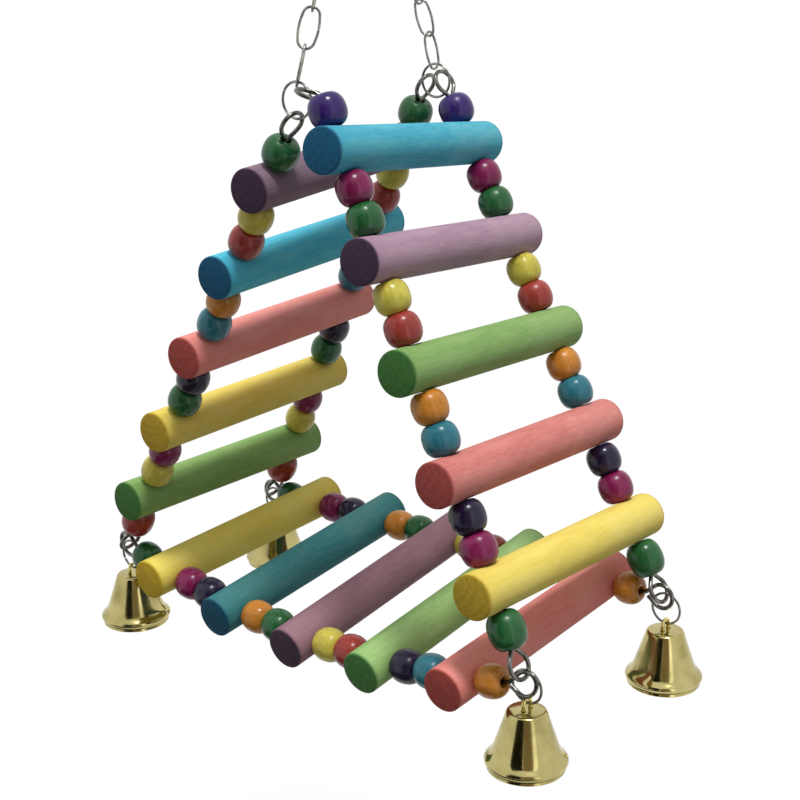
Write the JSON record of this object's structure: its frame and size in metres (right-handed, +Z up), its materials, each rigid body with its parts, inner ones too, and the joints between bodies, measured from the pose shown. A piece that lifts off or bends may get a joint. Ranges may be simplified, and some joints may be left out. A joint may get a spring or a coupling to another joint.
{
  "type": "bird ladder swing",
  "caption": "Hanging perch toy for a pet bird: stained wooden rungs and painted beads on steel wires, linked into a tent-shaped ladder on chains, with brass bells at its lower corners.",
  "frame": {"origin": "centre of the hanging ring that carries the swing", "axes": "+Z up, +X from the left ladder to the right ladder, +Y along the rungs from front to back"},
  "size_m": [0.2213, 0.1048, 0.3239],
  "materials": {
    "wood_blue": "matt water stain",
    "wood_purple": "matt water stain",
    "wood_green": "matt water stain",
    "wood_pink": "matt water stain",
    "wood_yellow": "matt water stain",
    "bead_violet": "gloss lacquer, in mixed colours",
    "bead_green": "gloss lacquer, in mixed colours",
    "steel": "bright nickel plate",
    "brass": "polished"
  },
  "bodies": {
    "hanging_ring": {"hanging_ring": "steel"},
    "chain_pair_1": {"front_chain_link_1": "steel", "back_chain_link_1": "steel"},
    "chain_pair_2": {"front_chain_link_2": "steel", "back_chain_link_2": "steel"},
    "chain_pair_3": {"front_chain_link_3": "steel", "back_chain_link_3": "steel"},
    "chain_pair_4": {"front_chain_link_4": "steel", "back_chain_link_4": "steel"},
    "chain_pair_5": {"front_chain_link_5": "steel", "back_chain_link_5": "steel"},
    "chain_pair_6": {"front_chain_link_6": "steel", "back_chain_link_6": "steel"},
    "chain_pair_7": {"front_chain_link_7": "steel", "back_chain_link_7": "steel"},
    "chain_pair_8": {"front_chain_link_8": "steel", "back_chain_link_8": "steel"},
    "top_rings": {"front_top_ring": "steel", "back_top_ring": "steel"},
    "tent": {"right_rung_1": "wood_blue", "right_rung_2": "wood_purple", "right_rung_3": "wood_green", "right_rung_4": "wood_pink", "right_rung_5": "wood_yellow", "right_beaded_wire_front": "bead_violet", "right_beaded_wire_back": "bead_violet", "left_rung_1": "wood_purple", "left_rung_2": "wood_blue", "left_rung_3": "wood_pink", "left_rung_4": "wood_yellow", "left_rung_5": "wood_green", "left_beaded_wire_front": "bead_green", "left_beaded_wire_back": "bead_green", "base_rung_1": "wood_yellow", "base_rung_2": "wood_blue", "base_rung_3": "wood_purple", "base_rung_4": "wood_green", "base_rung_5": "wood_pink", "base_beaded_wire_front": "bead_green", "base_beaded_wire_back": "bead_green"},
    "bell_ring_right_front": {"bell_ring_right_front": "steel"},
    "bell_right_front": {"bell_right_front": "brass", "bell_hanger_right_front": "brass"},
    "clapper_right_front": {"bell_clapper_right_front": "brass"},
    "bell_ring_right_back": {"bell_ring_right_back": "steel"},
    "bell_right_back": {"bell_right_back": "brass", "bell_hanger_right_back": "brass"},
    "clapper_right_back": {"bell_clapper_right_back": "brass"},
    "bell_ring_left_front": {"bell_ring_left_front": "steel"},
    "bell_left_front": {"bell_left_front": "brass", "bell_hanger_left_front": "brass"},
    "clapper_left_front": {"bell_clapper_left_front": "brass"},
    "bell_ring_left_back": {"bell_ring_left_back": "steel"},
    "bell_left_back": {"bell_left_back": "brass", "bell_hanger_left_back": "brass"},
    "clapper_left_back": {"bell_clapper_left_back": "brass"}
  },
  "joints": [
    {"name": "swing_front_to_back", "type": "hinge", "parent": "hanging_ring", "child": "chain_pair_1", "pos_m": [0, 0, 0], "axis": [0.9945, 0.1045, 0], "range_deg": [-20, 20]},
    {"name": "chain_bend_2", "type": "hinge", "parent": "chain_pair_1", "child": "chain_pair_2", "pos_m": [0, 0, -0.01804], "axis": [-0.1045, 0.9945, 0], "range_deg": [-8, 8]},
    {"name": "chain_bend_3", "type": "hinge", "parent": "chain_pair_2", "child": "chain_pair_3", "pos_m": [0, 0, -0.0306], "axis": [-0.1045, 0.9945, 0], "range_deg": [-8, 8]},
    {"name": "chain_bend_4", "type": "hinge", "parent": "chain_pair_3", "child": "chain_pair_4", "pos_m": [0, 0, -0.04073], "axis": [-0.1045, 0.9945, 0], "range_deg": [-8, 8]},
    {"name": "chain_bend_5", "type": "hinge", "parent": "chain_pair_4", "child": "chain_pair_5", "pos_m": [0, 0, -0.05329], "axis": [-0.1045, 0.9945, 0], "range_deg": [-8, 8]},
    {"name": "chain_bend_6", "type": "hinge", "parent": "chain_pair_5", "child": "chain_pair_6", "pos_m": [0, 0, -0.06343], "axis": [-0.1045, 0.9945, 0], "range_deg": [-8, 8]},
    {"name": "chain_bend_7", "type": "hinge", "parent": "chain_pair_6", "child": "chain_pair_7", "pos_m": [0, 0, -0.07598], "axis": [-0.1045, 0.9945, 0], "range_deg": [-8, 8]},
    {"name": "chain_bend_8", "type": "hinge", "parent": "chain_pair_7", "child": "chain_pair_8", "pos_m": [0, 0, -0.08612], "axis": [-0.1045, 0.9945, 0], "range_deg": [-8, 8]},
    {"name": "top_ring_swing", "type": "hinge", "parent": "chain_pair_8", "child": "top_rings", "pos_m": [0, 0, -0.09867], "axis": [-0.1045, 0.9945, 0], "range_deg": [-15, 15]},
    {"name": "tent_rock", "type": "hinge", "parent": "top_rings", "child": "tent", "pos_m": [0, 0, -0.10297], "axis": [-0.1045, 0.9945, 0], "range_deg": [-10, 12]},
    {"name": "bell_ring_swing_right_front", "type": "hinge", "parent": "tent", "child": "bell_ring_right_front", "pos_m": [0.09576, -0.03699, -0.27413], "axis": [0, 1, 0], "range_deg": [-35, 10]},
    {"name": "bell_swing_right_front", "type": "hinge", "parent": "bell_ring_right_front", "child": "bell_right_front", "pos_m": [0.09576, -0.03699, -0.28333], "axis": [1, 0, 0], "range_deg": [-25, 25]},
    {"name": "clapper_swing_right_front", "type": "hinge", "parent": "bell_right_front", "child": "clapper_right_front", "pos_m": [0.09576, -0.03699, -0.28983], "axis": [0, 1, 0], "range_deg": [-30, 30]},
    {"name": "bell_ring_swing_right_back", "type": "hinge", "parent": "tent", "child": "bell_ring_right_back", "pos_m": [0.09734, 0.04095, -0.2745], "axis": [0, 1, 0], "range_deg": [-35, 10]},
    {"name": "bell_swing_right_back", "type": "hinge", "parent": "bell_ring_right_back", "child": "bell_right_back", "pos_m": [0.09734, 0.04095, -0.2837], "axis": [1, 0, 0], "range_deg": [-25, 25]},
    {"name": "clapper_swing_right_back", "type": "hinge", "parent": "bell_right_back", "child": "clapper_right_back", "pos_m": [0.09734, 0.04095, -0.2902], "axis": [0, 1, 0], "range_deg": [-30, 30]},
    {"name": "bell_ring_swing_left_front", "type": "hinge", "parent": "tent", "child": "bell_ring_left_front", "pos_m": [-0.09736, -0.037, -0.281], "axis": [0, 1, 0], "range_deg": [-10, 35]},
    {"name": "bell_swing_left_front", "type": "hinge", "parent": "bell_ring_left_front", "child": "bell_left_front", "pos_m": [-0.09736, -0.037, -0.2902], "axis": [1, 0, 0], "range_deg": [-25, 25]},
    {"name": "clapper_swing_left_front", "type": "hinge", "parent": "bell_left_front", "child": "clapper_left_front", "pos_m": [-0.09736, -0.037, -0.2967], "axis": [0, 1, 0], "range_deg": [-30, 30]},
    {"name": "bell_ring_swing_left_back", "type": "hinge", "parent": "tent", "child": "bell_ring_left_back", "pos_m": [-0.09726, 0.04101, -0.281], "axis": [0, 1, 0], "range_deg": [-10, 35]},
    {"name": "bell_swing_left_back", "type": "hinge", "parent": "bell_ring_left_back", "child": "bell_left_back", "pos_m": [-0.09726, 0.04101, -0.2902], "axis": [1, 0, 0], "range_deg": [-25, 25]},
    {"name": "clapper_swing_left_back", "type": "hinge", "parent": "bell_left_back", "child": "clapper_left_back", "pos_m": [-0.09726, 0.04101, -0.2967], "axis": [0, 1, 0], "range_deg": [-30, 30]}
  ]
}
